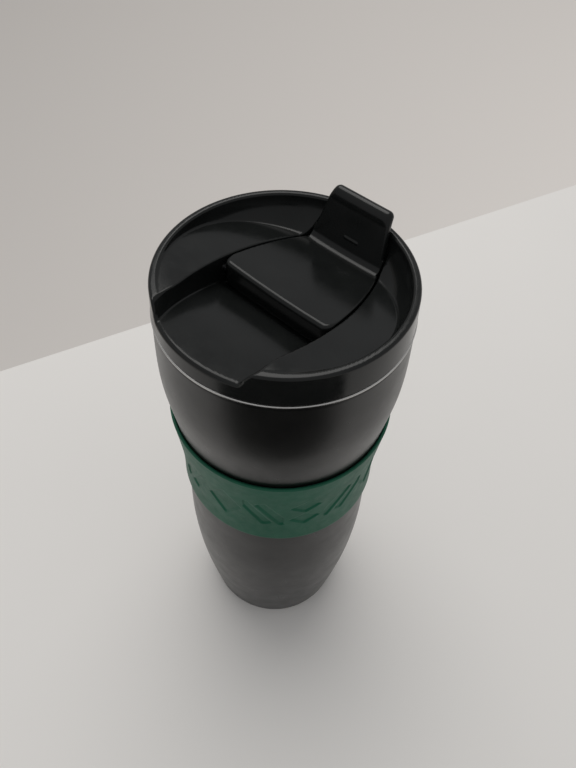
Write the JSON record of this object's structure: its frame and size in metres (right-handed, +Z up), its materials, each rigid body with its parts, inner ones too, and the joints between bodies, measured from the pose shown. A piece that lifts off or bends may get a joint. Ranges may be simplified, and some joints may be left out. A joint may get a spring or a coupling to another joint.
{
  "type": "insulated travel mug",
  "caption": "Tall hourglass travel mug with a double-walled steel body, a rubber grip band and a press-in lid with a flip flap over its drink hole.",
  "frame": {"origin": "centre of the base, on the surface that the mug stands on", "axes": "+Z up along the mug's axis; +Y toward the thumb tab; -Y toward the notch in the lid's rim; X along the flap's hinge"},
  "size_m": [0.0804, 0.0804, 0.2148],
  "materials": {
    "black_paint": "satin",
    "bare_steel": "brushed",
    "copper_foil": "bright foil",
    "getter_metal": "sintered",
    "foot_rubber": "matte",
    "green_silicone": "matte",
    "lid_plastic": "satin gloss",
    "insert_plastic": "matte",
    "flap_plastic": "satin gloss",
    "seal_silicone": "matte",
    "pin_steel": "polished"
  },
  "bodies": {
    "cup": {"outer_shell": "black_paint", "outer_bottom": "bare_steel", "inner_liner": "bare_steel", "liner_foil": "copper_foil", "getter": "getter_metal", "base_pad": "foot_rubber", "grip_band": "green_silicone"},
    "lid": {"lid_cover": "lid_plastic", "lid_insert": "insert_plastic", "lid_gasket": "seal_silicone", "hinge_pins": "pin_steel"},
    "flap": {"flap": "flap_plastic", "drink_seal": "seal_silicone", "vent_seal": "seal_silicone"}
  },
  "joints": [
    {"name": "lid_lift", "type": "slide", "parent": "cup", "child": "lid", "axis": [0, 0, 1], "range_m": [0, 0.06]},
    {"name": "flap_hinge", "type": "hinge", "parent": "lid", "child": "flap", "pos_m": [0, -0.0032, 0.199], "axis": [1, 0, 0], "range_deg": [0, 150]}
  ]
}
